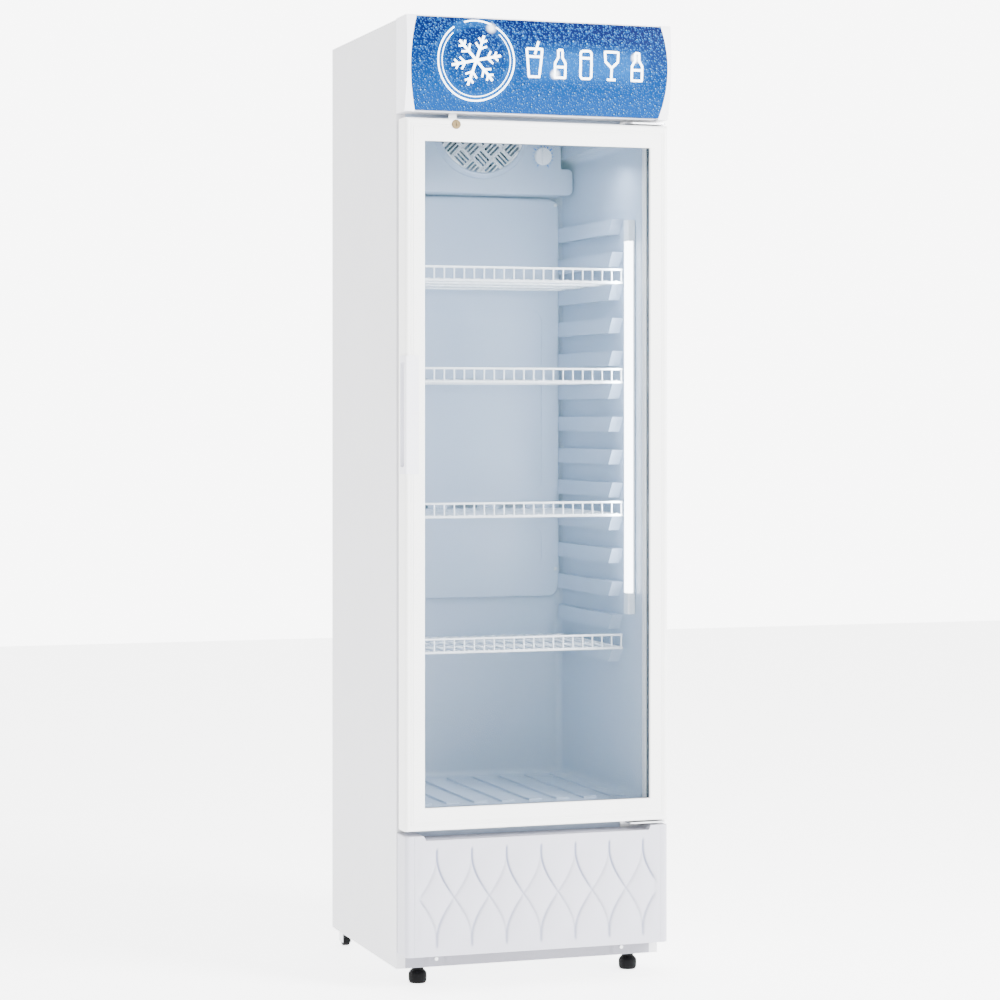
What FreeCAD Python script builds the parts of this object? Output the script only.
import FreeCAD, Part
import math
import os
import Sketcher

# An upright glass-door drinks cooler, in millimetres. +Z is up and the door
# faces -Y. The origin is on the floor, under the middle of the cabinet.

SIZES = {
    # cabinet envelope
    "width": 540, "cabinet_top": 1860, "base_level": 34, "skin": 1, "skin_lip": 18, "bend": 2,
    "cabinet_face": -198.5, "back_face": 272.5, "back_inset": 1.2, "foam_bottom": 296,
    # cavity and liner
    "liner_wall": 2, "mouth_half": 237, "rear_half": 222, "floor_level": 340, "ceiling_front": 1648,
    "flange_drop": 14,
    "ceiling_rear": 1632, "rear_wall": 231.5, "cavity_radius": 14, "recess_half": 198,
    "recess_front": -90, "recess_top": 1822, "rib_top": 1493.8, "rib_pitch": 66.3, "rib_height": 30,
    "rib_depth": 12, "rib_front": -105, "rib_slant": 22, "pad_pitch": 57, "pad_width": 26, "pad_rise": 4,
    "pad_front": -158, "pad_rear": 205,
    # air duct cover on the rear wall
    "duct_half": 213, "duct_bottom": 716, "duct_top": 1558, "duct_depth": 12, "duct_gap": 1.2,
    "duct_radius": 25, "duct_inner_half": 173, "duct_groove": 1.2, "duct_groove_width": 5,
    "slot_length": 60, "slot_height": 6, "slot_rise": 8,
    # evaporator unit
    "cover_face": 152.5, "cover_wall": 2, "cover_bottom": 1560, "cover_step": 1615, "cover_low_half": 220,
    "cover_high_half": 194, "cover_top": 1812, "cover_radius": 12, "fan_x": 17, "fan_level": 1697,
    "grille_outer": 103, "grille_inner": 92, "grille_rim": 8, "grille_bar": 2.4, "grille_pitch": 13,
    "fan_tip": 84, "fan_hub": 24, "fan_chord": 18, "blade_width": 23.4, "blade_sheet": 2, "blade_pitch": 28,
    "motor_radius": 27, "motor_stand": 28, "motor_length": 24, "shaft_radius": 3, "shaft_gap": 0.05,
    "coil_half": 180, "coil_bottom": 1635, "coil_top": 1800, "coil_front": 207, "coil_depth": 20,
    "fin_sheet": 0.8, "fin_pitch": 15, "coil_tube": 4, "coil_rows": 6,
    # thermostat
    "dial_x": 153, "dial_level": 1640, "dial_radius": 18, "dial_height": 13, "dial_gap": 0.4,
    "grip_width": 8, "stem_radius": 3, "stem_length": 22,
    # interior lamp
    "lamp_inner": 220, "lamp_wall_gap": 0.3, "lamp_front": -166.5, "lamp_rear": -141.5, "lamp_bottom": 703,
    "lamp_top": 1488, "lamp_cap": 42, "lens_depth": 11,
    # base frame
    "plate": 1.5, "plinth_height": 30, "plinth_depth": 20, "bracket_x": 191, "bracket_width": 44,
    "bracket_depth": 5, "bracket_height": 22,
    # front layer: lower panel, door and canopy
    "door_face": -258.5, "panel_bottom": 65, "panel_top": 296, "panel_wall": 3, "panel_radius": 9,
    "notch_half": 232, "notch_inner": 217, "notch_depth": 9,
    "door_half": 268.5, "door_bottom": 305, "door_top": 1667, "door_depth": 48, "stile_face": 38,
    "rail_face": 44, "frame_wall": 2.2, "door_radius": 6, "reed_depth": 0.9,
    "lip_depth": 5, "pane": 4, "pane_gap": 12, "pane_play": 0.2, "pane_edge": 9, "spacer_width": 8,
    "gasket_gap": 0.3, "gasket_inset": 16, "gasket_width": 15,
    "canopy_bottom": 1679, "canopy_top": 1862, "canopy_bulge_face": -272.5, "canopy_top_face": -266.5,
    "canopy_low_face": -253.5, "sign_corner_half": 247, "sign_waist_half": 262, "sign_wall": 3,
    "canopy_wall": 2.5, "cap_shadow": 0.4, "tube_radius": 8, "tube_half": 225,
    # handle
    "handle_bottom": 987, "handle_top": 1213, "handle_proud": 1.5, "handle_inner": 243,
    "handle_wall": 1.6, "handle_radius": 4,
    "grip_bottom": 1000, "grip_top": 1201, "grip_depth": 15, "grip_front": -250, "grip_rear": -226,
    # hinges
    "pin_x": 254, "pin_y": -240, "pin_radius": 4, "pin_length": 21, "bush_radius": 7, "bush_length": 22,
    "hinge_gap": 2.5, "hinge_plate": 3, "hinge_inner": 190, "hinge_outer": 265, "hinge_leg": 34,
    # lock
    "lock_x": -168, "lock_level": 1656, "lock_radius": 7.6, "lock_length": 24, "lock_flange": 9,
    "lock_proud": 1.6, "plug_radius": 5, "plug_tail": 33, "cam_reach": 19, "cam_width": 8, "cam_sheet": 3,
    "cam_face": -232, "strike_width": 16, "strike_sheet": 2.5, "strike_clear": 2,
    # shelves
    "shelf_gap": 0.3, "shelf_front": -138.5, "shelf_rear": 205, "shelf_half": 217, "front_wire_half": 218,
    "frame_wire": 2.7, "side_wire": 2.5, "cross_wire": 2.3, "thin_wire": 1.6, "wire_pitch": 20.6,
    "rail_wire": 2.2, "rail_height": 26, "wire_end": 0.8, "weld": 1.6,
    # feet and rollers
    "foot_x": 218, "foot_y": -168.5, "foot_radius": 18, "foot_sole": 15.5, "foot_neck": 11.5,
    "foot_body": 24, "foot_height": 33.5, "stud_radius": 4, "stud_top": 62,
    "roller_x": 250, "roller_y": 241.5, "roller_radius": 15, "roller_width": 14, "roller_gap": 1,
    "axle_radius": 3, "ear_sheet": 2, "ear_half": 12,
    # refrigeration unit in the base
    "comp_x": 120, "comp_y": 95, "comp_radius": 68, "comp_bottom": 52, "comp_top": 205, "comp_round": 30,
    "comp_foot_half": 92, "comp_foot_depth": 58, "mount_radius": 11,
    "cond_left": -215, "cond_right": 45, "cond_front": -176, "cond_depth": 50, "cond_bottom": 48,
    "cond_top": 252, "cond_tube": 4, "cond_fan_x": -85, "cond_fan_y": -98, "cond_fan_level": 150,
    "pan_x": -120, "pan_y": 130, "pan_half": 85, "pan_reach": 130, "pan_height": 46, "pan_wall": 2,
    "pipe_radius": 3.5, "pipe_head": 8, "pipe_low": 92, "pipe_start": 30, "pipe_x": 185, "pipe_y": 252,
    "drain_x": -120, "drain_y": 248, "drain_radius": 7,
    "drain_wall": 1.5, "gland_x": -205, "gland_level": 92, "gland_radius": 11, "gland_bore": 4.2,
    "louvre_length": 150, "louvre_height": 7, "louvre_pitch": 18, "screw_head": 3.6, "screw_rise": 1.9,
}

doc = FreeCAD.newDocument("drinks_cooler")
sheet = doc.addObject("Spreadsheet::Sheet", "sizes")
for row, (word, amount) in enumerate(SIZES.items(), start=1):
    sheet.set(f"A{row}", word)
    sheet.set(f"B{row}", str(amount))
    sheet.setAlias(f"B{row}", word)
doc.recompute()


class Size:
    """A length that knows its number and the sheet formula that gives it."""

    def __init__(self, number, formula):
        self.number = number
        self.formula = formula

    def __add__(self, other):
        return Size(self.number + number(other), f"({self.formula} + {formula(other)})")

    def __radd__(self, other):
        return Size(number(other) + self.number, f"({formula(other)} + {self.formula})")

    def __sub__(self, other):
        return Size(self.number - number(other), f"({self.formula} - {formula(other)})")

    def __rsub__(self, other):
        return Size(number(other) - self.number, f"({formula(other)} - {self.formula})")

    def __mul__(self, other):
        return Size(self.number * number(other), f"({self.formula} * {formula(other)})")

    __rmul__ = __mul__

    def __truediv__(self, other):
        return Size(self.number / number(other), f"({self.formula} / {formula(other)})")

    def __neg__(self):
        return Size(-self.number, f"(0 - {self.formula})")


def number(value):
    return value.number if isinstance(value, Size) else float(value)


def formula(value):
    return value.formula if isinstance(value, Size) else f"({value:.6f})"


class SizeBook:
    """Reads the driving sizes as attributes: book.width is the cell named width."""

    def __getattr__(self, word):
        return Size(float(sheet.get(word)), f"sizes.{word}")


size = SizeBook()
half = size.width / 2
parts = []


def keep(obj, label):
    """Name a finished sub-part; its label is also the name of its file."""
    obj.Label = label
    parts.append(obj)
    return obj


def bind(obj, **rules):
    for prop, value in rules.items():
        obj.setExpression(prop, formula(value))


def move(obj, x=0, y=0, z=0, turn=None):
    """Place an object by sheet formulas; turn is a FreeCAD rotation."""
    obj.Placement = FreeCAD.Placement(FreeCAD.Vector(number(x), number(y), number(z)),
                                      turn or FreeCAD.Rotation())
    for axis, value in (("x", x), ("y", y), ("z", z)):
        if isinstance(value, Size):
            obj.setExpression(f"Placement.Base.{axis}", value.formula)
    return obj


X_AXIS = FreeCAD.Vector(1, 0, 0)
Y_AXIS = FreeCAD.Vector(0, 1, 0)
Z_AXIS = FreeCAD.Vector(0, 0, 1)
ALONG = {"x": FreeCAD.Rotation(Y_AXIS, 90), "y": FreeCAD.Rotation(X_AXIS, -90), "z": FreeCAD.Rotation()}


def block(name, x, y, z):
    """A box between two planes on each axis."""
    box = doc.addObject("Part::Box", name)
    bind(box, Length=x[1] - x[0], Width=y[1] - y[0], Height=z[1] - z[0])
    return move(box, x[0], y[0], z[0])


def rod(name, radius, length, at, axis="z"):
    """A cylinder that starts at a point and runs along an axis."""
    cylinder = doc.addObject("Part::Cylinder", name)
    bind(cylinder, Radius=radius, Height=length)
    return move(cylinder, *at, turn=ALONG[axis])


def fuse(name, shapes):
    union = doc.addObject("Part::MultiFuse", name)
    union.Shapes = shapes
    return union


def cut(name, base, tools):
    """Take one or more tools away from a base."""
    result = doc.addObject("Part::Cut", name)
    result.Base = base
    result.Tool = tools[0] if len(tools) == 1 else fuse(name + "_tools", tools)
    return result


def common(name, base, tool):
    result = doc.addObject("Part::Common", name)
    result.Base = base
    result.Tool = tool
    return result


def rounded(name, base, radius, wanted):
    """Fillet the edges of a Part object that a test picks."""
    doc.recompute()
    result = doc.addObject("Part::Fillet", name)
    result.Base = base
    amount = number(radius)
    result.Edges = [(k, amount, amount) for k,
                    edge in enumerate(base.Shape.Edges, start=1) if wanted(edge)]
    return result


def edge_runs(edge, axis):
    """True for a straight edge that runs along an axis."""
    direction = edge.Vertexes[-1].Point - edge.Vertexes[0].Point
    return direction.Length > 0 and abs(direction.normalize().dot(axis)) > 0.99


def new_body(name):
    return doc.addObject("PartDesign::Body", name)


def sketch_on(body, role, offset=0):
    """A sketch on one of the body's own origin planes, moved along its normal."""
    plane = next(item for item in body.Origin.OriginFeatures if item.Role == role)
    sketch = body.newObject("Sketcher::SketchObject", body.Name + "_sketch")
    sketch.AttachmentSupport = [(plane, "")]
    sketch.MapMode = "FlatFace"
    sketch.AttachmentOffset = FreeCAD.Placement(FreeCAD.Vector(0, 0, number(offset)), FreeCAD.Rotation())
    if isinstance(offset, Size):
        sketch.setExpression("AttachmentOffset.Base.z", offset.formula)
    return sketch


def pin_point(sketch, geometry, point, place):
    """Hold a point of the sketch at a pair of formulas."""
    for kind, value in (("DistanceX", place[0]), ("DistanceY", place[1])):
        rule = sketch.addConstraint(Sketcher.Constraint(kind, -1, 1, geometry, point, number(value)))
        if isinstance(value, Size):
            sketch.setExpression(f"Constraints[{rule}]", value.formula)


def outline(sketch, corners):
    """A closed outline of straight lines through its corners."""
    first = sketch.GeometryCount
    points = [FreeCAD.Vector(number(x), number(y), 0) for x, y in corners]
    for start, end in zip(points, points[1:] + points[:1]):
        sketch.addGeometry(Part.LineSegment(start, end), False)
    for k in range(len(points)):
        sketch.addConstraint(Sketcher.Constraint("Coincident", first + k, 2,
                                                 first + (k + 1) % len(points), 1))
    for k, corner in enumerate(corners):
        pin_point(sketch, first + k, 1, corner)


def circle(sketch, radius, centre=(0, 0)):
    where = FreeCAD.Vector(number(centre[0]), number(centre[1]), 0)
    index = sketch.addGeometry(Part.Circle(where, FreeCAD.Vector(0, 0, 1), number(radius)), False)
    pin_point(sketch, index, 3, centre)
    rule = sketch.addConstraint(Sketcher.Constraint("Radius", index, number(radius)))
    if isinstance(radius, Size):
        sketch.setExpression(f"Constraints[{rule}]", radius.formula)


def pad(body, sketch, length):
    feature = body.newObject("PartDesign::Pad", body.Name + "_pad")
    feature.Profile = sketch
    bind(feature, Length=length)
    return feature


def pocket(body, sketch, length, backwards=False):
    feature = body.newObject("PartDesign::Pocket", body.Name + "_pocket")
    feature.Profile = sketch
    feature.Reversed = backwards
    bind(feature, Length=length)
    return feature


def revolve(body, sketch):
    feature = body.newObject("PartDesign::Revolution", body.Name + "_turned")
    feature.Profile = sketch
    feature.ReferenceAxis = (sketch, ["V_Axis"])
    feature.Angle = 360
    return feature


def soften(body, radius, wanted):
    """A PartDesign fillet on the edges of the body's tip that a test picks."""
    doc.recompute()
    tip = body.Tip
    names = [f"Edge{k}" for k, edge in enumerate(tip.Shape.Edges, start=1) if wanted(edge)]
    feature = body.newObject("PartDesign::Fillet", body.Name + "_fillet")
    feature.Base = (tip, names)
    bind(feature, Radius=radius)
    return feature


def plate_xy(name, corners, low, high):
    """A body padded up from a flat outline."""
    body = new_body(name)
    sketch = sketch_on(body, "XY_Plane", low)
    outline(sketch, corners)
    pad(body, sketch, high - low)
    return body


def plate_xz(name, corners, front, rear):
    """A body padded from its rear plane to its front plane; corners are (x, z)."""
    body = new_body(name)
    sketch = sketch_on(body, "XZ_Plane", -rear)
    outline(sketch, corners)
    pad(body, sketch, rear - front)
    return body


def plate_yz(name, corners, left, right):
    """A body padded from left to right; corners are (y, z)."""
    body = new_body(name)
    sketch = sketch_on(body, "YZ_Plane", left)
    outline(sketch, corners)
    pad(body, sketch, right - left)
    return body


def turned(name, profile, at, axis="z"):
    """A turned piece: profile is (radius, height) corners, revolved about its own axis."""
    body = new_body(name)
    sketch = sketch_on(body, "XZ_Plane")
    outline(sketch, profile)
    revolve(body, sketch)
    return move(body, *at, turn=ALONG[axis])


def rectangle(left, right, low, high):
    return [(left, low), (right, low), (right, high), (left, high)]


# The shelf ledges are numbered down the wall; these four carry the shelves.
LEDGES = 14
SHELF_LEDGES = (2, 5, 9, 13)


def ledge_top(k):
    return size.rib_top - size.rib_pitch * k


def shelf_level(k):
    """Height of a shelf's frame wires when it rests on ledge k."""
    return ledge_top(k) + size.side_wire + size.shelf_gap


def make_skins():
    """Side, top and rear sheets of the cabinet."""
    skin_top = size.cabinet_top - size.skin
    for side, label in ((-1, "side_panel_left"), (1, "side_panel_right")):
        outer = side * half
        inner = side * (half - size.skin)
        lip = side * (half - size.skin_lip)
        corners = [(outer, size.cabinet_face), (outer, size.back_face), (lip, size.back_face),
                   (lip, size.back_face - size.skin), (inner, size.back_face - size.skin),
                   (inner, size.cabinet_face + size.skin), (lip, size.cabinet_face + size.skin),
                   (lip, size.cabinet_face)]
        body = plate_xy(label, corners, size.base_level, skin_top)
        soften(body, size.bend,
               lambda edge: edge_runs(edge, Z_AXIS) and abs(edge.Vertexes[0].X) > half.number - 0.1)
        keep(body, label)
    top = plate_xy("top_panel", [(-half, size.cabinet_face), (half, size.cabinet_face),
                                 (half, size.back_face), (-half,
                                                          size.back_face)], skin_top, size.cabinet_top)
    soften(top, size.bend, lambda edge: edge_runs(edge, Z_AXIS))
    keep(top, "top_panel")
    rear_half = half - size.skin * 1.5
    front = size.back_face - size.skin - size.back_inset
    sheet_rear = front + size.skin
    panel = plate_xz("rear_sheet",
                     rectangle(-rear_half, rear_half, size.foam_bottom + size.skin * 4, skin_top),
                     front, sheet_rear)
    beads = []
    for side in (-1, 1):
        centre = side * half / 2
        bead = block("rear_bead", (centre - 14, centre + 14), (front, sheet_rear + size.skin),
                     (size.foam_bottom + 80, skin_top - 80))
        beads.append(rounded("rear_bead_round", bead, 6, lambda edge: edge_runs(edge, Y_AXIS)))
    keep(fuse("rear_panel", [panel] + beads), "back_panel")


def cavity(name, grow):
    """The storage space as a solid, grown all round by a wall thickness."""
    mouth = size.mouth_half + grow
    rear = size.rear_half + grow
    back = size.rear_wall + grow
    top = size.ceiling_front + grow
    plan = [(-mouth, size.cabinet_face), (mouth, size.cabinet_face), (rear, back), (-rear, back)]
    body = plate_xy(name, plan, size.floor_level - grow, top)
    slope = sketch_on(body, "YZ_Plane", -mouth - 1)
    outline(slope, [(size.cabinet_face - 0.01, top), (back + 1, size.ceiling_rear + grow),
                    (back + 1, top + 1), (size.cabinet_face - 0.01, top + 1)])
    pocket(body, slope, mouth * 2 + 2, backwards=True)
    face = number(size.cabinet_face)
    soften(body, size.cavity_radius + grow, lambda edge: max(v.Y for v in edge.Vertexes) > face + 1)
    recess = block(name + "_recess", (-size.recess_half - grow, size.recess_half + grow),
                   (size.recess_front - grow, size.rear_wall + grow),
                   (size.ceiling_rear - size.rib_height, size.recess_top + grow))
    ceiling = number(size.recess_top) - 1
    recess_round = rounded(name + "_recess_round", recess, size.cavity_radius + grow,
                           lambda edge: edge_runs(edge, Z_AXIS) or min(v.Z for v in edge.Vertexes) > ceiling)
    return fuse(name + "_space", [body, recess_round])


def make_insulation():
    """Foam between the outer skins and the liner, with its drain and pipe holes."""
    foam = block("foam_block", (-half + size.skin, half - size.skin),
                 (size.cabinet_face + size.liner_wall, size.back_face - size.skin * 2 - size.back_inset),
                 (size.foam_bottom, size.cabinet_top - size.skin))
    holes = [cavity("foam_cavity", size.liner_wall)]
    for x, y, radius in ((size.drain_x, size.drain_y, size.drain_radius),
                         (size.pipe_x, size.pipe_y, size.pipe_radius * 2.4)):
        holes.append(rod("foam_bore", radius, size.coil_bottom - size.foam_bottom + 20,
                         (x, y, size.foam_bottom - 1)))
    holes.append(block("pipe_entry", (size.pipe_x - 40, size.pipe_x + 9),
                       (size.rear_wall, size.pipe_y + 6),
                       (size.coil_bottom, size.coil_bottom + 20)))
    holes.append(block("drain_entry", (size.drain_x - 7, size.drain_x + 7),
                       (size.rear_wall, size.drain_y + 6),
                       (size.coil_bottom, size.coil_bottom + 20)))
    keep(cut("foam", foam, holes), "insulation")


def support_rib(side, top):
    """One moulded shelf support: a ledge on the side wall with a raked front end."""
    wall = side * size.mouth_half
    reach = side * (size.rear_half - size.rib_depth)
    low = top - size.rib_height
    body = new_body("support_rib")
    sketch = sketch_on(body, "YZ_Plane", reach if side > 0 else wall)
    rear = size.rear_wall - size.duct_gap - size.duct_depth - 1
    outline(sketch, [(size.rib_front, top), (rear, top), (rear, low),
                     (size.rib_front + size.rib_slant, low)])
    pad(body, sketch, size.mouth_half - size.rear_half + size.rib_depth)
    return body


def make_liner():
    """Moulded inner liner: tapered shell, front flange, shelf ribs and raised floor pads."""
    outer = cavity("liner_outer", size.liner_wall)
    flange = block("liner_flange", (-half + size.skin_lip, half - size.skin_lip),
                   (size.cabinet_face, size.cabinet_face + size.liner_wall),
                   (size.foam_bottom - size.flange_drop, size.cabinet_top - size.skin))
    pipe_hole = rod("liner_pipe_hole", size.pipe_radius + 0.5, size.liner_wall * 3,
                    (size.pipe_x, size.rear_wall - size.liner_wall,
                     size.coil_bottom + size.pipe_head), "y")
    drain_hole = rod("liner_drain_hole", size.drain_radius - size.drain_wall, size.liner_wall * 3,
                     (size.drain_x, size.rear_wall - size.liner_wall,
                      size.coil_bottom + size.pipe_head), "y")
    shell = cut("liner_shell", fuse("liner_blank", [outer, flange]),
                [cavity("liner_inner", 0), pipe_hole, drain_hole])
    ribs = []
    for side in (-1, 1):
        for k in range(LEDGES):
            ribs.append(support_rib(side, ledge_top(k)))
    pads = []
    for k in range(8):
        centre = size.pad_pitch * (k - 3.5)
        pads.append(block("floor_pad", (centre - size.pad_width / 2, centre + size.pad_width / 2),
                          (size.pad_front, size.pad_rear),
                          (size.floor_level - size.liner_wall / 2, size.floor_level + size.pad_rise)))
    ledge = fuse("liner_ribs", ribs)
    held = common("liner_ribs_held", ledge, outer)
    keep(fuse("liner", [shell, held] + pads), "inner_liner")


def make_duct_cover():
    """Moulded cover over the cold-air duct on the rear wall, with outlet slots."""
    rear = size.rear_wall - size.duct_gap
    front = rear - size.duct_depth
    plate = plate_xz("duct_plate",
                     rectangle(-size.duct_half, size.duct_half, size.duct_bottom,
                               size.duct_top), front, rear)
    soften(plate, size.duct_radius, lambda edge: edge_runs(edge, Y_AXIS))
    soften(plate, size.duct_depth / 3, lambda edge: max(v.Y for v in edge.Vertexes) < number(front) + 0.1)
    hollow = block("duct_hollow", (-size.duct_half + size.skin_lip, size.duct_half - size.skin_lip),
                   (front + size.cover_wall, rear + 1),
                   (size.duct_bottom + size.skin_lip, size.duct_top - size.skin_lip))
    tools = [hollow]
    for low, high in ((size.duct_bottom + 60, ledge_top(9) - 30), (ledge_top(9) + 40, ledge_top(2) - 40)):
        outer = block("emboss_outer", (-size.duct_inner_half, size.duct_inner_half),
                      (front - 1, front + size.duct_groove), (low, high))
        inner = block("emboss_inner",
                      (-size.duct_inner_half + size.duct_groove_width,
                       size.duct_inner_half - size.duct_groove_width),
                      (front - 2, front + size.duct_groove + 1),
                      (low + size.duct_groove_width, high - size.duct_groove_width))
        tools.append(cut("emboss_line",
                         rounded("emboss_round", outer, size.duct_radius,
                                 lambda edge: edge_runs(edge, Y_AXIS)),
                         [rounded("emboss_round_in", inner, size.duct_radius - 4,
                                  lambda edge: edge_runs(edge, Y_AXIS))]))
    for k in SHELF_LEDGES[:3]:
        low = ledge_top(k) + size.slot_rise
        for column in (-1, 0, 1):
            centre = column * size.slot_length * 1.8
            tools.append(block("duct_slot",
                               (centre - size.slot_length / 2, centre + size.slot_length / 2),
                               (front - 1, front + size.cover_wall + 1), (low, low + size.slot_height)))
    keep(cut("duct_cover", plate, tools), "air_duct_cover")


def cover_outline(grow):
    """Front outline of the evaporator cover: narrow above, wide below."""
    low = size.cover_low_half + grow
    high = size.cover_high_half + grow
    return [(-low, size.cover_bottom - grow), (low, size.cover_bottom - grow),
            (low, size.cover_step + grow),
            (high, size.cover_step + grow), (high, size.cover_top + grow), (-high, size.cover_top + grow),
            (-high, size.cover_step + grow), (-low, size.cover_step + grow)]


def make_evaporator_unit():
    """Cover, grille, coil, fan and thermostat at the top of the cavity."""
    rear = size.rear_wall - size.cavity_radius - 0.5
    shell = plate_xz("cover_blank", cover_outline(0), size.cover_face, rear)
    corner = number(size.cover_low_half) - 0.5
    soften(shell, size.cover_radius,
           lambda edge: edge_runs(edge, Y_AXIS) and abs(edge.Vertexes[0].X) > corner)
    soften(shell, size.cover_radius / 4,
           lambda edge: max(v.Y for v in edge.Vertexes) < number(size.cover_face) + 0.1)
    hollow = plate_xz("cover_hollow", cover_outline(-size.cover_wall), size.cover_face + size.cover_wall,
                      rear + 2)
    front = size.cover_face - 1
    opening = rod("cover_opening", size.grille_inner, size.cover_wall + 2,
                  (size.fan_x, front, size.fan_level), "y")
    stem = rod("stem_hole", size.stem_radius + size.shaft_gap, size.cover_wall + 2,
               (size.dial_x, front, size.dial_level), "y")
    keep(cut("cover", shell, [hollow, opening, stem]), "evaporator_cover")

    ring_front = size.cover_face - size.grille_rim
    rim = turned("grille_ring", [(size.grille_inner - 2, 0), (size.grille_outer - 7, 0),
                                 (size.grille_outer, size.grille_rim - 0.2),
                                 (size.grille_inner + 1, size.grille_rim - 0.2),
                                 (size.grille_inner - 2, size.skin * 3)],
                 (size.fan_x, ring_front, size.fan_level), "y")
    bars = []
    span = size.grille_inner - 1
    for k in range(-6, 7):
        offset = size.grille_pitch * k
        length = 2 * math.sqrt(number(span) ** 2 - number(offset) ** 2)
        for tilt, wanted in ((45, True), (-45, k % 3 == 0)):
            if not wanted:
                continue
            bar = doc.addObject("Part::Box", "grille_bar")
            bind(bar, Width=size.grille_bar, Height=size.grille_bar)
            bar.Length = length
            turn = FreeCAD.Rotation(Y_AXIS, tilt)
            lift = number(offset) - number(size.grille_bar) / 2
            corner = turn.multVec(FreeCAD.Vector(-length / 2, 0, lift))
            move(bar, size.fan_x + corner.x, ring_front + 1, size.fan_level + corner.z, turn)
            bars.append(bar)
    keep(fuse("grille", [rim] + bars), "fan_grille")

    fins = []
    for k in range(-12, 13):
        at = size.fin_pitch * k
        fins.append(block("coil_fin", (at, at + size.fin_sheet),
                          (size.coil_front, size.coil_front + size.coil_depth),
                          (size.coil_bottom, size.coil_top)))
    rise = (size.coil_top - size.coil_bottom) / size.coil_rows
    for k in range(int(size.coil_rows.number)):
        fins.append(rod("coil_tube", size.coil_tube, size.coil_half * 2 + 20,
                        (-size.coil_half - 10, size.coil_front + size.coil_depth / 2,
                         size.coil_bottom + rise * (k + 0.5)), "x"))
    keep(fuse("coil", fins), "evaporator_coil")

    motor_front = size.cover_face + size.motor_stand
    motor = rod("motor_can", size.motor_radius, size.motor_length,
                (size.fan_x, motor_front, size.fan_level), "y")
    arms = []
    for side in (-1, 1):
        arms.append(block("motor_arm", (size.fan_x - size.grille_outer, size.fan_x + size.grille_outer),
                          (motor_front + size.motor_length - 3, motor_front + size.motor_length),
                          (size.fan_level + side * 14 - 4, size.fan_level + side * 14 + 4)))
    spindle = rod("motor_spindle", size.shaft_radius, size.fan_chord + 4,
                  (size.fan_x, motor_front - size.fan_chord - 4, size.fan_level), "y")
    can = rounded("motor_round", motor, 4, lambda edge: len(edge.Vertexes) == 1)
    keep(fuse("motor", [can, spindle] + arms), "evaporator_fan_motor")

    body = block("thermostat_case", (size.dial_x - 20, size.dial_x + 20),
                 (size.cover_face + size.cover_wall + size.skin, size.cover_face + 40),
                 (size.dial_level - 18, size.dial_level + 22))
    bore = rod("thermostat_bore", size.stem_radius + size.shaft_gap, size.stem_length,
               (size.dial_x, size.cover_face, size.dial_level), "y")
    keep(cut("thermostat", rounded("thermostat_round", body, 2, lambda edge: edge_runs(edge, Y_AXIS)),
             [bore]),
         "thermostat_body")


def make_dial():
    """Thermostat knob: skirted disc with a grip bar and a stem that turns in the thermostat."""
    foot = -size.dial_height - size.dial_gap
    body = turned("dial_turned",
                  [(0, foot), (size.dial_radius - 3, foot), (size.dial_radius - 1, foot + 2),
                                  (size.dial_radius - 1, -size.dial_gap - 3), (size.dial_radius,
                                                                               -size.dial_gap - 2),
                                  (size.dial_radius, -size.dial_gap), (size.stem_radius, -size.dial_gap),
                                  (size.stem_radius, size.stem_length - 2), (0, size.stem_length - 2)],
                  (size.dial_x, size.cover_face, size.dial_level), "y")
    cheeks = []
    for side in (-1, 1):
        inner = side * size.grip_width / 2
        outer = side * size.dial_radius
        low, high = (inner, outer) if side > 0 else (outer, inner)
        cheeks.append(block("dial_cheek", (size.dial_x + low, size.dial_x + high),
                            (size.cover_face + foot - 1, size.cover_face + foot + 7),
                            (size.dial_level - size.dial_radius - 1,
                             size.dial_level + size.dial_radius + 1)))
    keep(cut("dial", body, cheeks), "thermostat_knob")


def make_fan(label, centre, tip, blades):
    """A pitched-blade fan on a hub; the axis runs along Y."""
    x, y, level = centre
    hub = turned(label + "_hub", [(size.shaft_radius + size.shaft_gap, 0), (size.fan_hub, 0),
                                  (size.fan_hub, size.fan_chord), (size.shaft_radius + size.shaft_gap,
                                                                   size.fan_chord)],
                 (x, y, level), "y")
    shapes = [hub]
    length = number(tip - size.fan_hub) + 2
    for k in range(blades):
        blade = doc.addObject("Part::Box", label + "_blade")
        blade.Length = length
        bind(blade, Width=size.blade_width, Height=size.blade_sheet)
        pitch = FreeCAD.Rotation(X_AXIS, number(size.blade_pitch))
        spin = FreeCAD.Rotation(Y_AXIS, 360.0 * k / blades)
        corner = spin.multVec(FreeCAD.Vector(number(size.fan_hub) - 2, 0, 0)
                              + pitch.multVec(FreeCAD.Vector(0, -number(size.blade_width) / 2, -1)))
        move(blade, x + corner.x, y + size.fan_chord / 2 + corner.y, level + corner.z,
             spin.multiply(pitch))
        shapes.append(blade)
    keep(fuse(label + "_rotor", shapes), label)


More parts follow.
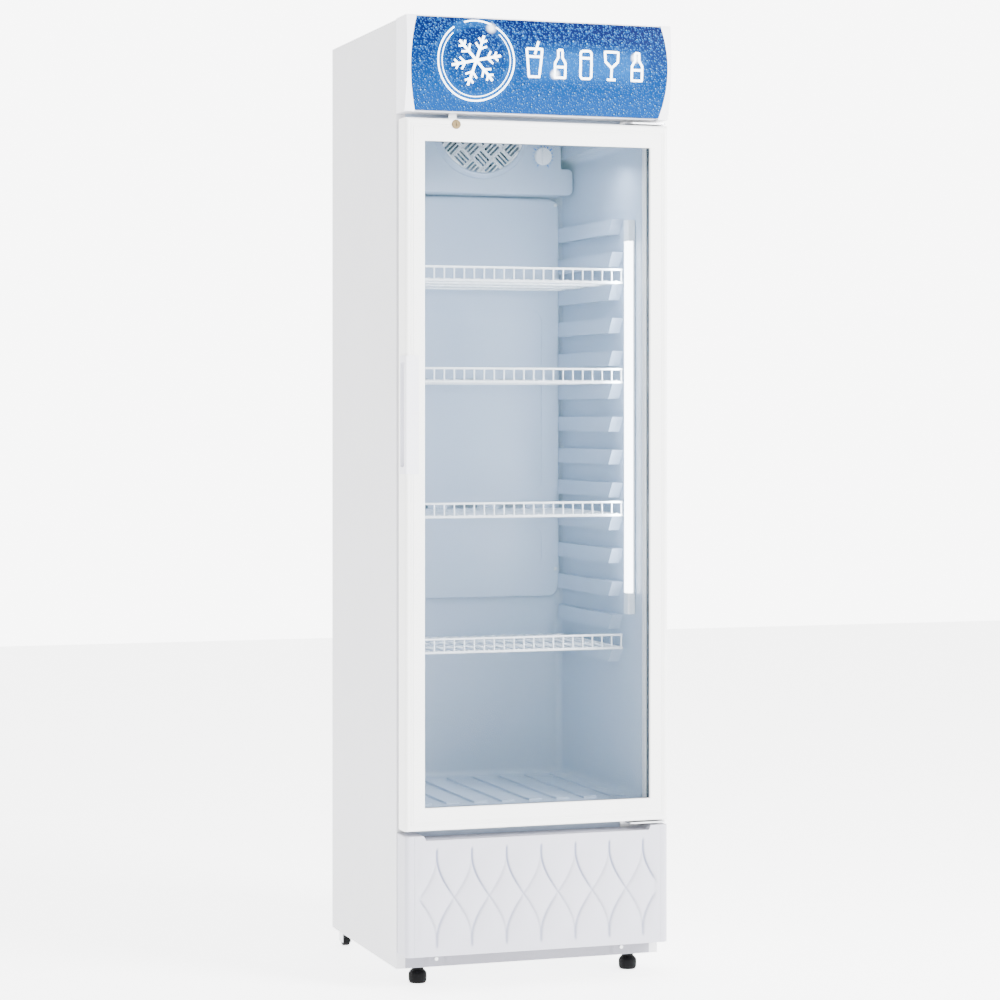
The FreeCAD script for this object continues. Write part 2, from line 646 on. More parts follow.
def make_lamp():
    """Vertical interior light on the right wall: lens between a base with two end caps."""
    wall = size.mouth_half - 2.2
    base_inner = size.lamp_inner + size.lens_depth
    base = block("lamp_back", (base_inner, wall - size.lamp_wall_gap), (size.lamp_front, size.lamp_rear),
                 (size.lamp_bottom, size.lamp_top))
    caps = []
    for low in (size.lamp_bottom, size.lamp_top - size.lamp_cap):
        caps.append(block("lamp_cap", (size.lamp_inner, base_inner), (size.lamp_front, size.lamp_rear),
                          (low, low + size.lamp_cap)))
    holder = rounded("lamp_holder", fuse("lamp_base_blank", [base] + caps), 3,
                     lambda edge: edge_runs(edge,
                                            Z_AXIS) and edge.Vertexes[0].X < number(size.lamp_inner) + 0.1)
    keep(holder, "led_lamp_base")
    lens = block("lamp_lens_blank", (size.lamp_inner, base_inner), (size.lamp_front, size.lamp_rear),
                 (size.lamp_bottom + size.lamp_cap, size.lamp_top - size.lamp_cap))
    keep(rounded("lamp_lens", lens, 5,
                 lambda edge: edge_runs(edge,
                                        Z_AXIS) and edge.Vertexes[0].X < number(size.lamp_inner) + 0.1),
         "led_lamp_lens")


def make_base():
    """Base plate, plinth bar, brackets, rear grille and cable gland."""
    inside = half - size.skin
    plate = plate_xy("base_blank",
                     [(-inside, size.cabinet_face + size.plinth_depth),
                      (inside, size.cabinet_face + size.plinth_depth),
                                    (inside, size.back_face - size.skin), (-inside,
                                                                           size.back_face - size.skin)],
                     size.base_level, size.base_level + size.plate)
    holes = sketch_on(plate, "XY_Plane", size.base_level + size.plate)
    for side in (-1, 1):
        circle(holes, size.stud_radius + size.shaft_gap, (side * size.foot_x, size.foot_y))
    for column in range(-4, 5):
        for line in range(2):
            circle(holes, size.mount_radius / 2,
                   (size.fin_pitch * 2 * column, size.cond_front + size.fin_pitch * 6 + 40 * line))
    pocket(plate, holes, size.plate + 1)
    keep(plate, "base_plate")

    rear = size.cabinet_face + size.plinth_depth
    top = size.base_level + size.plinth_height
    bar = plate_yz("plinth", [(size.cabinet_face, size.base_level), (rear, size.base_level),
                              (rear, size.base_level + size.plate), (size.cabinet_face + size.plate,
                                                                     size.base_level + size.plate),
                              (size.cabinet_face + size.plate, top - size.plate), (rear,
                                                                                   top - size.plate),
                              (rear, top), (size.cabinet_face,
                                            top)], -half + size.skin_lip + 0.1, half - size.skin_lip - 0.1)
    keep(bar, "plinth_bar")

    brackets = []
    for side in (-1, 1):
        centre = side * size.bracket_x
        wide = size.bracket_width / 2
        body = plate_xy("plinth_bracket",
                        [(centre - wide, size.cabinet_face - 0.1),
                         (centre + wide, size.cabinet_face - 0.1),
                                           (centre + wide - 7, size.cabinet_face - size.bracket_depth),
                                           (centre - wide + 7, size.cabinet_face - size.bracket_depth)],
                        size.base_level + 2, size.base_level + 2 + size.bracket_height)
        brackets.append(body)
    keep(fuse("brackets", brackets), "plinth_brackets")

    grille = plate_xz("rear_cover",
                      rectangle(-half + size.skin_lip + 1, half - size.skin_lip - 1, size.base_level + 3,
                                size.foam_bottom),
                      size.back_face - size.skin * 2, size.back_face - size.skin)
    slots = sketch_on(grille, "XZ_Plane", -size.back_face + size.skin)
    for row in range(10):
        low = size.base_level + 40 + size.louvre_pitch * row
        for column in (-1, 0, 1):
            if column == -1 and row < 4:
                continue
            centre = column * (size.louvre_length + 12)
            left = centre - size.louvre_length / 2
            outline(slots, rectangle(left, left + size.louvre_length, low, low + size.louvre_height))
    circle(slots, size.gland_radius - 2, (size.gland_x, size.gland_level))
    pocket(grille, slots, size.skin + 1, backwards=True)
    keep(grille, "rear_grille")

    neck = size.gland_radius - 2.1
    gland = turned("gland", [(size.gland_bore, -14), (neck - 1, -14), (neck - 1, -3.2),
                             (size.gland_radius, -3), (size.gland_radius, -1.2), (neck, -1.2), (neck, 0),
                             (size.gland_bore, 0)],
                   (size.gland_x, size.back_face - size.skin, size.gland_level), "y")
    keep(gland, "cable_gland")


def make_refrigeration():
    """Compressor, condenser, their pipes and the evaporation pan in the base."""
    shell = rounded("shell_round", rod("comp_shell", size.comp_radius, size.comp_top - size.comp_bottom,
                                       (size.comp_x, size.comp_y, size.comp_bottom)),
                    size.comp_round, lambda edge: len(edge.Vertexes) == 1)
    seam = rod("comp_seam", size.comp_radius + 3, 7,
               (size.comp_x, size.comp_y, (size.comp_top + size.comp_bottom) / 2))
    foot = block("comp_foot", (size.comp_x - size.comp_foot_half, size.comp_x + size.comp_foot_half),
                 (size.comp_y - size.comp_foot_depth, size.comp_y + size.comp_foot_depth),
                 (size.comp_bottom - 3, size.comp_bottom + 2))
    box = block("comp_terminals",
                (size.comp_x - size.comp_radius - 26, size.comp_x - size.comp_radius + 8),
                (size.comp_y - 24, size.comp_y + 24), (size.comp_bottom + 48, size.comp_bottom + 108))
    keep(fuse("compressor_unit",
              [shell, seam, foot, rounded("comp_box", box, 4, lambda edge: edge_runs(edge, Z_AXIS))]),
         "compressor")

    mounts = []
    for left in (-1, 1):
        for front in (-1, 1):
            x = size.comp_x + left * (size.comp_foot_half - 13)
            y = size.comp_y + front * (size.comp_foot_depth - 13)
            low = size.base_level + size.plate
            mounts.append(turned("rubber_mount", [(0, low), (size.mount_radius, low),
                                                  (size.mount_radius, low + 4), (size.mount_radius - 3,
                                                                                 low + 6),
                                                  (size.mount_radius - 3, size.comp_bottom - 5),
                                                  (size.mount_radius - 1, size.comp_bottom - 3),
                                                  (0, size.comp_bottom - 3)], (x, y, 0)))
    keep(fuse("mounts", mounts), "compressor_mounts")

    fins = []
    gap = size.fin_pitch * 0.7
    for k in range(24):
        at = size.cond_left + 8 + gap * k
        fins.append(block("condenser_fin", (at, at + size.fin_sheet),
                          (size.cond_front, size.cond_front + size.cond_depth),
                          (size.cond_bottom, size.cond_top)))
    for row in range(7):
        for bank in (0.27, 0.73):
            fins.append(rod("condenser_tube", size.cond_tube, size.cond_right - size.cond_left,
                            (size.cond_left, size.cond_front + size.cond_depth * bank,
                             size.cond_bottom + 16 + 28 * row), "x"))
    keep(fuse("condenser", fins), "condenser_coil")

    y = size.cond_fan_y
    can = rod("fan_can", size.motor_radius, size.motor_length * 1.6,
              (size.cond_fan_x, y + size.fan_chord + 4, size.cond_fan_level), "y")
    spindle = rod("fan_spindle", size.shaft_radius, size.fan_chord + 5,
                  (size.cond_fan_x, y, size.cond_fan_level), "y")
    stand = block("fan_stand", (size.cond_fan_x - 16, size.cond_fan_x + 16),
                  (y + size.fan_chord + 14, y + size.fan_chord + 30),
                  (size.base_level + size.plate, size.cond_fan_level))
    keep(fuse("condenser_motor",
              [rounded("fan_can_round", can, 4, lambda edge: len(edge.Vertexes) == 1), spindle, stand]),
         "condenser_fan_motor")

    low = size.base_level + size.plate
    left = size.pan_x - size.pan_half
    right = size.pan_x + size.pan_half
    front = size.pan_y - size.pan_half
    rear = size.pan_y + size.pan_reach
    wall = size.pan_wall
    pan = block("pan_outer", (left, right), (front, rear), (low, low + size.pan_height))
    room = block("pan_room", (left + wall, right - wall), (front + wall, rear - wall),
                 (low + wall, low + size.pan_height + 1))
    keep(cut("pan", rounded("pan_round", pan, 10, lambda edge: edge_runs(edge, Z_AXIS)), [room]),
         "evaporation_pan")

    drain_low = low + size.pan_height - 16
    drain_high = size.coil_bottom + 14
    tube = rod("drain_outer", size.drain_radius - 0.1, drain_high - drain_low,
               (size.drain_x, size.drain_y, drain_low))
    bore = rod("drain_bore", size.drain_radius - size.drain_wall, drain_high - drain_low + 2,
               (size.drain_x, size.drain_y, drain_low - 1))
    keep(cut("drain", tube, [bore]), "drain_tube")

    low = size.comp_bottom + size.pipe_low
    high = size.coil_bottom + size.pipe_head
    start = size.comp_y + size.pipe_start
    finish = size.coil_front + size.coil_depth + 1
    riser = rod("pipe_riser", size.pipe_radius, high - low, (size.pipe_x, size.pipe_y, low))
    elbow = rod("pipe_elbow", size.pipe_radius, size.pipe_y - start, (size.pipe_x, start, low), "y")
    head = rod("pipe_head", size.pipe_radius, size.pipe_y - finish, (size.pipe_x, finish, high), "y")
    corners = []
    for level in (low, high):
        corner = doc.addObject("Part::Sphere", "pipe_corner")
        bind(corner, Radius=size.pipe_radius)
        corners.append(move(corner, size.pipe_x, size.pipe_y, level))
    keep(fuse("pipes", [riser, elbow, head] + corners), "refrigerant_pipes")


def make_lower_panel():
    """Moulded front cover of the machine compartment, open at the back, with a hand notch on top."""
    wide = half - size.panel_wall / 2
    dip = size.panel_top - size.notch_depth
    corners = [(-wide, size.panel_bottom), (wide, size.panel_bottom), (wide, size.panel_top),
               (size.notch_half, size.panel_top), (size.notch_inner, dip), (-size.notch_inner, dip),
               (-size.notch_half, size.panel_top), (-wide, size.panel_top)]
    body = plate_xz("panel_blank", corners, size.door_face, size.cabinet_face - 0.2)
    face = number(size.door_face)
    soften(body, size.panel_radius,
           lambda edge: edge_runs(edge, Z_AXIS) and edge.Vertexes[0].Y < face + 0.1)
    soften(body, size.bend,
           lambda edge: max(v.Y for v in edge.Vertexes) < face + 0.1 and not edge_runs(edge, Z_AXIS))
    hollow = sketch_on(body, "XZ_Plane", -size.cabinet_face - 1)
    inner = wide - size.panel_wall
    outline(hollow, rectangle(-inner, inner, size.panel_bottom + size.panel_wall, dip - size.panel_wall))
    pocket(body, hollow, size.cabinet_face - size.door_face - size.panel_wall + 1, backwards=True)
    notch = sketch_on(body, "XZ_Plane", -size.cabinet_face + size.hinge_plate + 1)
    outline(notch, rectangle(size.hinge_inner - 2, size.hinge_outer + 0.4,
                             size.door_bottom - size.hinge_leg - 12, size.panel_top + 1))
    pocket(body, notch, size.hinge_plate + 2)
    keep(body, "lower_front_panel")


def frame_profile(face, edge_place, depth_sign):
    """Section of the door frame: (distance from the door's outer edge, distance behind its face)."""
    def across(share):
        return edge_place + depth_sign * face * share

    front = size.door_face
    reed = front + size.reed_depth
    rear = front + size.door_depth
    glass_front = front + size.lip_depth
    glass_rear = glass_front + size.pane * 2 + size.pane_gap + size.pane_play * 2
    return [(across(0.0), front), (across(0.22), front), (across(0.23), reed), (across(0.27), reed),
            (across(0.28), front),
            (across(0.34), front), (across(0.35), reed), (across(0.39), reed), (across(0.40), front),
            (across(0.96), front), (across(1.0), front + 1.5), (across(1.0), glass_front), (across(0.74),
                                                                                            glass_front),
            (across(0.74), glass_rear), (across(0.95), glass_rear), (across(0.95), glass_rear + 2.5),
            (across(0.80), rear), (across(0.0), rear)]


def chamber_profile(face, edge_place, depth_sign):
    """The hollow inside the frame section."""
    def across(share):
        return edge_place + depth_sign * face * share

    front = size.door_face + size.frame_wall
    rear = size.door_face + size.door_depth - size.frame_wall
    return [(across(0.065), front), (across(0.69), front), (across(0.69), rear), (across(0.065), rear)]


def make_door_frame():
    """Four mitred hollow profiles."""
    inner_x = size.door_half - size.stile_face
    door_rear = size.door_face + size.door_depth
    outer_edge = number(size.door_half)
    for side, label in ((-1, "door_stile_left"), (1, "door_stile_right")):
        edge = side * size.door_half
        body = new_body(label + "_blank")
        sketch = sketch_on(body, "XY_Plane", size.door_bottom)
        outline(sketch, frame_profile(size.stile_face, edge, -side))
        outline(sketch, chamber_profile(size.stile_face, edge, -side))
        pad(body, sketch, size.door_top - size.door_bottom)
        face = number(size.door_face)
        soften(body, size.door_radius,
               lambda e: edge_runs(e, Z_AXIS) and abs(abs(e.Vertexes[0].X) - outer_edge) < 0.01
               and e.Vertexes[0].Y < face + 0.01)
        mitre = sketch_on(body, "XZ_Plane", -door_rear - 1)
        for outer_z, inner_z in ((size.door_top, size.door_top - size.rail_face),
                                 (size.door_bottom, size.door_bottom + size.rail_face)):
            outline(mitre, [(edge, outer_z), (side * inner_x, inner_z), (side * (inner_x - 1), inner_z),
                            (side * (inner_x - 1), outer_z)])
        pocket(body, mitre, size.door_depth + 3, backwards=True)
        if side > 0:
            bores = rod("bush_seat", size.bush_radius, size.door_top - size.door_bottom + 2,
                        (size.pin_x, size.pin_y, size.door_bottom - 1))
            keep(cut("hinge_stile", body, [bores]), label)
        else:
            well = block("grip_well",
                         (-size.door_half - 1, -size.door_half + size.grip_depth + size.handle_wall),
                         (size.grip_front - size.handle_wall, size.grip_rear + size.handle_wall),
                         (size.grip_bottom - size.handle_wall, size.grip_top + size.handle_wall))
            keep(cut("handle_stile", body, [well]), label)
    for level, sign, label in ((size.door_top, -1, "door_rail_top"),
                               (size.door_bottom, 1, "door_rail_bottom")):
        body = new_body(label + "_blank")
        sketch = sketch_on(body, "YZ_Plane", -size.door_half)
        outline(sketch, [(depth, height) for height, depth in frame_profile(size.rail_face, level, sign)])
        outline(sketch, [(depth, height) for height, depth in chamber_profile(size.rail_face, level, sign)])
        pad(body, sketch, size.door_half * 2)
        face = number(size.door_face)
        soften(body, size.door_radius,
               lambda e: edge_runs(e, X_AXIS) and abs(e.Vertexes[0].Z - number(level)) < 0.01
               and e.Vertexes[0].Y < face + 0.01)
        mitre = sketch_on(body, "XZ_Plane", -door_rear - 1)
        inner_z = level + sign * size.rail_face
        for side in (-1, 1):
            outline(mitre, [(side * size.door_half, level), (side * inner_x, inner_z),
                            (side * inner_x, inner_z + sign), (side * size.door_half, inner_z + sign)])
        pocket(body, mitre, size.door_depth + 3, backwards=True)
        tools = [rod("bush_seat", size.bush_radius, size.rail_face + 2,
                     (size.pin_x, size.pin_y, level - 1 if sign > 0 else level - size.rail_face - 1))]
        if sign < 0:
            tools.append(rod("lock_seat", size.lock_radius, size.door_depth / 2,
                             (size.lock_x, size.door_face - 1, size.lock_level), "y"))
            tools.append(block("cam_slot", (size.lock_x - size.cam_reach, size.lock_x + size.cam_width),
                               (size.cam_face - 0.4, size.cam_face + size.cam_sheet + 0.4),
                               (size.lock_level + size.cam_width / 2, size.door_top + 1)))
        keep(cut(label + "_bored", body, tools), label)


def make_door_glass():
    """Two panes with an edge spacer between them."""
    wide = size.door_half - size.stile_face + size.pane_edge
    low = size.door_bottom + size.rail_face - size.pane_edge
    high = size.door_top - size.rail_face + size.pane_edge
    front = size.door_face + size.lip_depth + size.pane_play
    for label, near in (("outer_glass", front), ("inner_glass", front + size.pane + size.pane_gap)):
        body = plate_xz(label, rectangle(-wide, wide, low, high), near, near + size.pane)
        soften(body, size.bend, lambda edge: edge_runs(edge, Y_AXIS))
        keep(body, label)
    rim = block("spacer_outer", (-wide, wide), (front + size.pane, front + size.pane + size.pane_gap),
                (low, high))
    inner = wide - size.spacer_width
    room = block("spacer_room", (-inner, inner), (front, front + size.pane * 2 + size.pane_gap),
                 (low + size.spacer_width, high - size.spacer_width))
    keep(cut("spacer", rim, [room]), "glass_spacer")


def make_gasket():
    """Magnetic door seal: a rubber ring with a bellows groove."""
    front = size.door_face + size.door_depth
    rear = size.cabinet_face - size.gasket_gap
    wide = size.door_half - size.gasket_inset
    low = size.door_bottom + size.gasket_inset
    high = size.door_top - size.gasket_inset
    width = size.gasket_width
    ring = block("seal_outer", (-wide, wide), (front, rear), (low, high))
    room = block("seal_room", (-wide + width, wide - width), (front - 1, rear + 1),
                 (low + width, high - width))
    groove_out = block("seal_groove_out", (-wide - 1, wide + 1), (front + 3, front + 6),
                       (low - 1, high + 1))
    groove_in = block("seal_groove_in", (-wide + 3, wide - 3), (front + 2, front + 7),
                      (low + 3, high - 3))
    keep(cut("seal", ring, [room, cut("seal_groove", groove_out, [groove_in])]), "door_gasket")


def make_handle():
    """Grip trim that wraps the free edge of the door, with a finger well in its side."""
    left = -size.door_half - size.handle_proud
    front = size.door_face - size.handle_proud
    rear = size.door_face + size.door_depth - 12
    corners = [(left, front), (-size.handle_inner, front), (-size.handle_inner, size.door_face - 0.1),
               (-size.door_half - 0.1, size.door_face - 0.1), (-size.door_half - 0.1, rear), (left, rear)]
    face = plate_xy("handle_blank", corners, size.handle_bottom, size.handle_top)
    soften(face, size.handle_radius,
           lambda edge: edge_runs(edge, Z_AXIS) and edge.Vertexes[0].X < left.number + 0.1
           and edge.Vertexes[0].Y < front.number + 0.1)
    wall = size.handle_wall
    cup = block("handle_cup", (-size.door_half - 0.1, -size.door_half + size.grip_depth + wall - 0.1),
                (size.grip_front - wall + 0.1, size.grip_rear + wall - 0.1),
                (size.grip_bottom - wall + 0.1, size.grip_top + wall - 0.1))
    well = block("handle_well", (left - 1, -size.door_half + size.grip_depth),
                 (size.grip_front, size.grip_rear),
                 (size.grip_bottom, size.grip_top))
    well_round = rounded("handle_well_round", well, 5, lambda edge: edge_runs(edge, X_AXIS))
    keep(cut("handle", fuse("handle_solid", [face, cup]), [well_round]), "door_handle")


def make_hinges():
    """Two folded hinge plates with pins, and the bushes that they turn in."""
    reach = size.door_face + 2
    cases = (("hinge_plate_bottom", size.door_bottom - size.hinge_gap - size.hinge_plate, -1),
             ("hinge_plate_top", size.door_top + size.hinge_gap, 1))
    for label, low, upward in cases:
        high = low + size.hinge_plate
        arm = plate_xy(label + "_arm",
                       [(size.hinge_inner, reach), (size.hinge_outer, reach),
                        (size.hinge_outer, size.cabinet_face - 0.1),
                                        (size.hinge_inner, size.cabinet_face - 0.1)], low, high)
        soften(arm, size.bend * 3,
               lambda edge: edge_runs(edge, Z_AXIS) and edge.Vertexes[0].Y < reach.number + 0.1)
        leg_span = (low - size.hinge_leg, high) if upward < 0 else (low, high + size.hinge_leg)
        leg = block(label + "_leg", (size.hinge_inner, size.hinge_outer),
                    (size.cabinet_face - size.hinge_plate, size.cabinet_face - 0.1), leg_span)
        pin_low = high - 1 if upward < 0 else low + 1 - size.pin_length
        pin = rod(label + "_pin", size.pin_radius, size.pin_length, (size.pin_x, size.pin_y, pin_low))
        keep(fuse(label + "_unit", [arm, leg, pin]), label)
    bushes = []
    for low in (size.door_bottom, size.door_top - size.bush_length):
        bushes.append(turned("hinge_bush",
                             [(size.pin_radius + size.shaft_gap, low), (size.bush_radius - 0.01, low),
                                            (size.bush_radius - 0.01, low + size.bush_length),
                                            (size.pin_radius + size.shaft_gap, low + size.bush_length)],
                             (size.pin_x, size.pin_y, 0)))
    keep(fuse("bushes", bushes), "hinge_bushes")


def make_lock():
    """Cam lock in the top rail, and the strike that its cam catches."""
    nose = size.door_face - size.lock_proud
    inner = size.plug_radius + size.shaft_gap
    barrel = turned("lock_case", [(inner, 0), (size.lock_flange - 1, 0), (size.lock_flange, size.skin),
                                  (size.lock_flange, size.lock_proud - 0.02), (size.lock_radius - 0.02,
                                                                               size.lock_proud - 0.02),
                                  (size.lock_radius - 0.02, size.lock_length - 1), (inner,
                                                                                    size.lock_length - 1)],
                    (size.lock_x, nose, size.lock_level), "y")
    keep(barrel, "lock_barrel")
    plug = rod("plug_core", size.plug_radius, size.plug_tail, (size.lock_x, nose + 0.2, size.lock_level),
               "y")
    cam = block("plug_cam", (size.lock_x - size.cam_reach, size.lock_x),
                (size.cam_face, size.cam_face + size.cam_sheet),
                (size.lock_level - size.cam_width / 2, size.lock_level + size.cam_width / 2))
    key_slot = block("plug_slot", (size.lock_x - 0.6, size.lock_x + 0.6), (nose - 1, nose + 4),
                     (size.lock_level - 3, size.lock_level + 3))
    keep(cut("plug", fuse("plug_blank", [plug, cam]), [key_slot]), "lock_plug")
    front = size.cam_face - size.strike_sheet - 1
    left = size.lock_x - size.strike_width / 2
    drop = size.door_top + size.strike_clear
    strike = plate_yz("strike",
                      [(front, drop), (front + size.strike_sheet, drop),
                       (front + size.strike_sheet, size.canopy_bottom - size.strike_sheet),
                                 (front + 26, size.canopy_bottom - size.strike_sheet), (front + 26,
                                                                                        size.canopy_bottom),
                                 (front, size.canopy_bottom)], left, left + size.strike_width)
    keep(strike, "lock_strike")


def bulge_profile(sketch, inset):
    """Canopy section in (y, z): flat back and bottom, and a front that bows outwards as an arc."""
    rear = size.cabinet_face - inset
    top = size.canopy_top - inset
    low = size.canopy_bottom + inset
    corners = [(size.canopy_low_face + inset, low), (rear, low), (rear, top),
               (size.canopy_top_face + inset, top)]
    first = sketch.GeometryCount
    points = [FreeCAD.Vector(number(y), number(z), 0) for y, z in corners]
    for k in range(3):
        sketch.addGeometry(Part.LineSegment(points[k], points[k + 1]), False)
    bow_y = size.canopy_bulge_face + inset
    bow_z = (size.canopy_bottom + size.canopy_top) / 2 + 20
    arc = Part.Arc(points[3], FreeCAD.Vector(number(bow_y), number(bow_z), 0), points[0])
    sketch.addGeometry(arc, False)
    starts_at_top = sketch.getPoint(first + 3, 1).distanceToPoint(points[3]) < 0.01
    top_end, low_end = (1, 2) if starts_at_top else (2, 1)
    for k in range(2):
        sketch.addConstraint(Sketcher.Constraint("Coincident", first + k, 2, first + k + 1, 1))
    sketch.addConstraint(Sketcher.Constraint("Coincident", first + 2, 2, first + 3, top_end))
    sketch.addConstraint(Sketcher.Constraint("Coincident", first + 3, low_end, first, 1))
    for k in range(3):
        pin_point(sketch, first + k, 1, corners[k])
    pin_point(sketch, first + 2, 2, corners[3])
    apex = sketch.addGeometry(Part.Point(FreeCAD.Vector(number(bow_y), number(bow_z), 0)), True)
    pin_point(sketch, apex, 1, (bow_y, bow_z))
    sketch.addConstraint(Sketcher.Constraint("PointOnObject", apex, 1, first + 3))


def bulge_solid(name, inset, left, right):
    body = new_body(name)
    sketch = sketch_on(body, "YZ_Plane", left)
    bulge_profile(sketch, inset)
    pad(body, sketch, right - left)
    return body


def barrel_prism(name, grow):
    """Front outline of the sign: straight top and bottom, sides that bow outwards."""
    front = number(size.canopy_bulge_face) - 20
    depth = 100
    corner = number(size.sign_corner_half + grow)
    waist = number(size.sign_waist_half + grow)
    low = number(size.canopy_bottom) - 5
    high = number(size.canopy_top) + 5
    middle = (low + high) / 2

    def point(x, z):
        return FreeCAD.Vector(x, front, z)

    edges = [Part.LineSegment(point(-corner, low), point(corner, low)).toShape(),
             Part.Arc(point(corner, low), point(waist, middle), point(corner, high)).toShape(),
             Part.LineSegment(point(corner, high), point(-corner, high)).toShape(),
             Part.Arc(point(-corner, high), point(-waist, middle), point(-corner, low)).toShape()]
    prism = doc.addObject("Part::Feature", name)
    prism.Shape = Part.Face(Part.Wire(edges)).extrude(FreeCAD.Vector(0, depth, 0))
    return prism


def make_canopy():
    """Lit canopy: housing, curved sign, two end caps and the lamp tube inside."""
    wall = size.canopy_wall
    full = bulge_solid("canopy_solid", 0, -half, half)
    room = bulge_solid("canopy_room", wall, -half + wall, half - wall)
    shell = cut("canopy_shell", full, [room])
    sign_front = block("sign_band", (-half, half), (size.canopy_bulge_face - 1, size.cabinet_face - 30),
                       (size.canopy_bottom + wall + 0.2, size.canopy_top - wall - 0.2))
    sign_skin = common("sign_skin", shell, sign_front)
    sign_zone = barrel_prism("sign_zone", 0)
    inner_cut = bulge_solid("sign_room", size.sign_wall, -half, half)
    sign_blank = common("sign_blank", sign_skin, sign_zone)
    keep(cut("sign", sign_blank, [inner_cut]), "canopy_sign")

    caps_shell = cut("caps_shell", shell, [barrel_prism("sign_clear", size.cap_shadow)])
    reach = size.sign_corner_half - 12
    split = size.cabinet_face - 30
    for side, label in ((-1, "canopy_cap_left"), (1, "canopy_cap_right")):
        span = (reach, half + 1) if side > 0 else (-half - 1, -reach)
        zone = block(label + "_zone", span, (size.canopy_bulge_face - 1, split),
                     (size.canopy_bottom - 1, size.canopy_top + 1))
        keep(common(label + "_part", caps_shell, zone), label)
    back = block("housing_zone", (-half - 1, half + 1), (split, size.cabinet_face + 1),
                 (size.canopy_bottom - 1, size.canopy_top + 1))
    notch = block("hinge_notch", (size.hinge_inner - 3, half + 1),
                  (size.cabinet_face - size.hinge_plate - 1, size.cabinet_face + 1),
                  (size.canopy_bottom - 2, size.door_top + size.hinge_leg + 12))
    rear_part = common("housing_rear", shell, back)
    span = (-size.sign_corner_half + 0.4, size.sign_corner_half - 0.4)
    floor = block("housing_floor", span, (size.canopy_low_face + 6, split),
                  (size.canopy_bottom, size.canopy_bottom + wall))
    lid = block("housing_lid", span, (size.canopy_top_face + 3, split),
                (size.canopy_top - wall, size.canopy_top))
    keep(cut("housing", fuse("housing_blank", [rear_part, floor, lid]), [notch]), "canopy_housing")

    middle = (size.canopy_bottom + size.canopy_top) / 2
    tube = rod("lamp_tube", size.tube_radius, size.tube_half * 2,
               (-size.tube_half, size.cabinet_face - 34, middle), "x")
    ends = []
    for x in (-size.tube_half - 10, size.tube_half):
        ends.append(block("lamp_socket", (x, x + 10), (size.cabinet_face - 34 - 10, size.cabinet_face - wall),
                          (middle - 12, middle + 12)))
    keep(fuse("canopy_lamp", [tube] + ends), "canopy_light_tube")


def make_shelf(label, level):
    """Welded wire shelf: frame wires, top wires and a low picket rail across its front."""
    top = level + size.frame_wire + size.thin_wire - size.weld
    rail_level = level + size.rail_height
    rail_half = size.wire_pitch * 10.6
    front = size.shelf_front - size.wire_end
    span = size.shelf_rear - size.shelf_front
    reach = size.shelf_half - size.side_wire
    wires = [rod("front_wire", size.frame_wire, size.front_wire_half * 2,
                 (-size.front_wire_half, size.shelf_front, level), "x"),
             rod("rail_wire", size.rail_wire, rail_half * 2, (-rail_half, size.shelf_front, rail_level), "x")]
    for share in (0.34, 0.67, 1.0):
        wires.append(rod("cross_wire", size.cross_wire, reach * 2,
                         (-reach, size.shelf_front + span * share, level), "x"))
    for side in (-1, 1):
        wires.append(rod("side_wire", size.side_wire, span + size.cross_wire * 2,
                         (side * reach, front, level), "y"))
    for k in range(-10, 11):
        wires.append(rod("top_wire", size.thin_wire, span + size.wire_end * 2,
                         (size.wire_pitch * k, front, top), "y"))
    for k in range(22):
        wires.append(rod("picket", size.thin_wire, size.rail_height,
                         (size.wire_pitch * (k - 10.5), size.shelf_front, level)))
    shelf = fuse(label + "_wires", wires)
    shelf.Refine = False
    keep(shelf, label)


def make_feet():
    """Levelling feet at the front, rollers and their brackets at the rear."""
    for side, label in ((-1, "foot_left"), (1, "foot_right")):
        foot = turned(label + "_turned",
                      [(0, 0), (size.foot_sole, 0), (size.foot_radius - 0.5, size.skin * 4),
                                          (size.foot_radius,
                                           size.foot_body / 2), (size.foot_radius - 0.5,
                                                                 size.foot_body - 5),
                                          (size.foot_radius - 4, size.foot_body), (size.foot_neck,
                                                                                   size.foot_body + 1.5),
                                          (size.foot_neck - 0.5, size.foot_height), (size.stud_radius,
                                                                                     size.foot_height),
                                          (size.stud_radius, size.stud_top), (0, size.stud_top)],
                      (side * size.foot_x, size.foot_y, 0))
        keep(foot, label)
    bore = size.axle_radius + size.shaft_gap
    for side, label in ((-1, "roller_left"), (1, "roller_right")):
        wide = size.roller_width / 2
        roller = turned(label + "_turned",
                        [(bore, -wide), (size.roller_radius - 1.5, -wide),
                         (size.roller_radius, -wide + 1.5),
                                            (size.roller_radius, wide - 1.5), (size.roller_radius - 1.5,
                                                                               wide), (bore, wide)],
                        (side * size.roller_x, size.roller_y, size.roller_radius), "x")
        keep(roller, label)
    pieces = []
    for side in (-1, 1):
        centre = side * size.roller_x
        gap = size.roller_width / 2 + size.roller_gap
        for flank in (-1, 1):
            inner = centre + flank * gap
            outer = inner + flank * size.ear_sheet
            low, high = (inner, outer) if flank > 0 else (outer, inner)
            pieces.append(block("roller_ear", (low, high),
                                (size.roller_y - size.ear_half, size.roller_y + size.ear_half),
                                (size.roller_radius - 7, size.base_level)))
        pieces.append(rod("roller_axle", size.axle_radius, (gap + size.ear_sheet) * 2,
                          (centre - gap - size.ear_sheet, size.roller_y, size.roller_radius), "x"))
    keep(fuse("roller_frames", pieces), "roller_brackets")


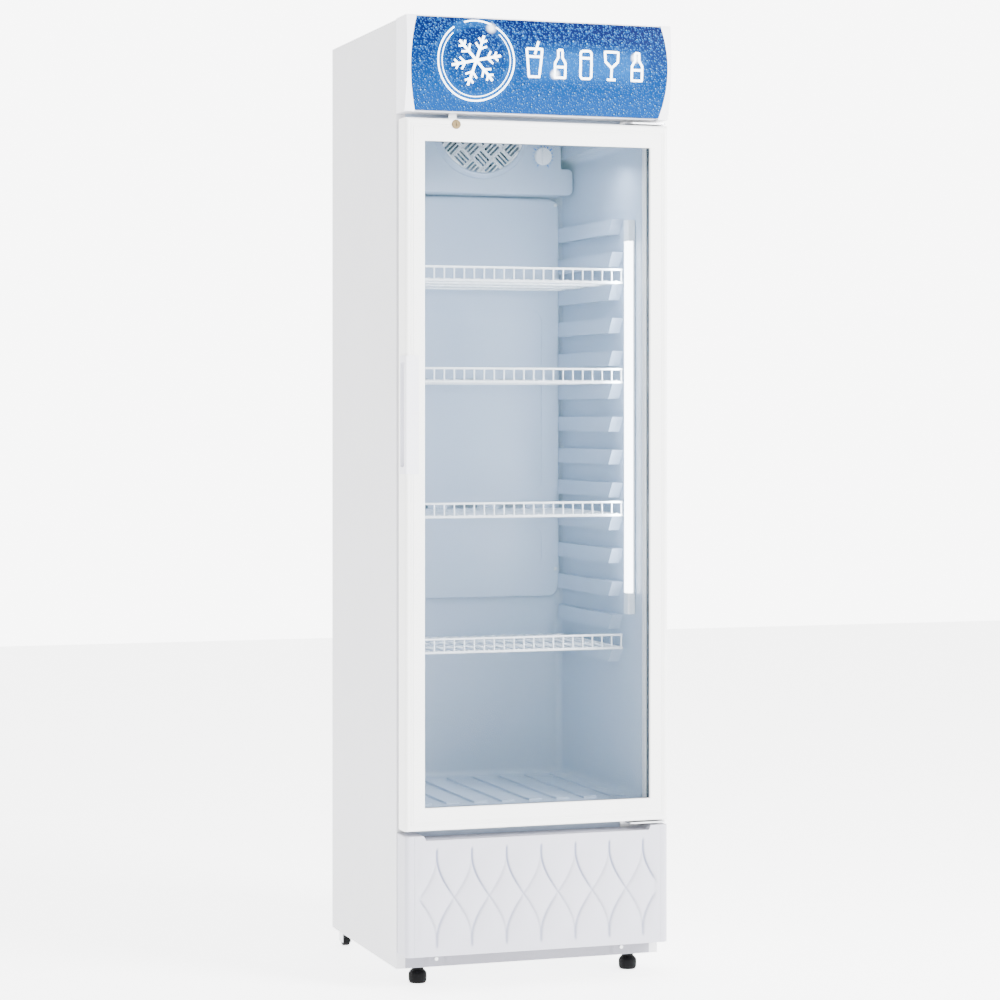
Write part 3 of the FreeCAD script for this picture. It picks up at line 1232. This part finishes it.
def make_screws():
    """Pan-head screws: rear sheet, rear grille, duct cover and plinth brackets."""
    heads = []
    sheet_rear = size.back_face - size.back_inset
    edge = half - size.skin_lip - 10
    grille_rear = size.back_face - size.skin + 0.01
    duct_face = size.rear_wall - size.duct_gap - size.duct_depth
    bracket_face = size.cabinet_face - size.bracket_depth
    for side in (-1, 1):
        x = side * edge
        for level in (size.foam_bottom + 30, ledge_top(9), ledge_top(2), size.cabinet_top - 30):
            heads.append(rod("rear_screw", size.screw_head, size.skin * 1.1,
                             (x, sheet_rear + 0.02, level), "y"))
        for level in (size.base_level + 16, size.foam_bottom - 14):
            heads.append(rod("grille_screw", size.screw_head, size.skin * 0.98, (x, grille_rear, level),
                             "y"))
        for level in (size.duct_bottom + 58, size.duct_top - 14):
            heads.append(rod("duct_screw", size.screw_head, size.screw_rise,
                             (side * (size.duct_half - 9), duct_face - size.screw_rise - 0.01, level), "y"))
        heads.append(rod("bracket_screw", size.screw_head, size.screw_rise,
                         (side * size.bracket_x, bracket_face - size.screw_rise - 0.01, size.base_level + 16),
                         "y"))
    keep(fuse("screws", heads), "case_screws")


make_skins()
make_insulation()
make_liner()
make_duct_cover()
make_evaporator_unit()
make_dial()
make_fan("evaporator_fan_blade", (size.fan_x, size.cover_face + 6, size.fan_level), size.fan_tip, 5)
make_lamp()
make_base()
make_refrigeration()
make_fan("condenser_fan_blade", (size.cond_fan_x, size.cond_fan_y, size.cond_fan_level), size.fan_tip, 5)
make_lower_panel()
make_door_frame()
make_door_glass()
make_gasket()
make_handle()
make_hinges()
make_lock()
make_canopy()
for shelf_number, ledge in enumerate(SHELF_LEDGES, start=1):
    make_shelf(f"shelf_{shelf_number}", shelf_level(ledge))
make_feet()
make_screws()
doc.recompute()

faults = []
for obj in doc.Objects:
    if "Invalid" in obj.State or "Error" in obj.State:
        faults.append(f"{obj.Label} {obj.getStatusString()}")
for part in parts:
    if part.Shape.isNull() or not part.Shape.isValid():
        faults.append(part.Label + " has no valid shape")
if faults:
    raise RuntimeError("; ".join(faults))

os.makedirs("parts", exist_ok=True)
for part in parts:
    part.Shape.exportStep(f"parts/{part.Label}.step")
    box = part.Shape.BoundBox
    print(f"{part.Label}: {len(part.Shape.Solids)} solid(s), {part.Shape.Volume / 1000:.1f} cm3,"
          f" z {box.ZMin:.1f} to {box.ZMax:.1f}")
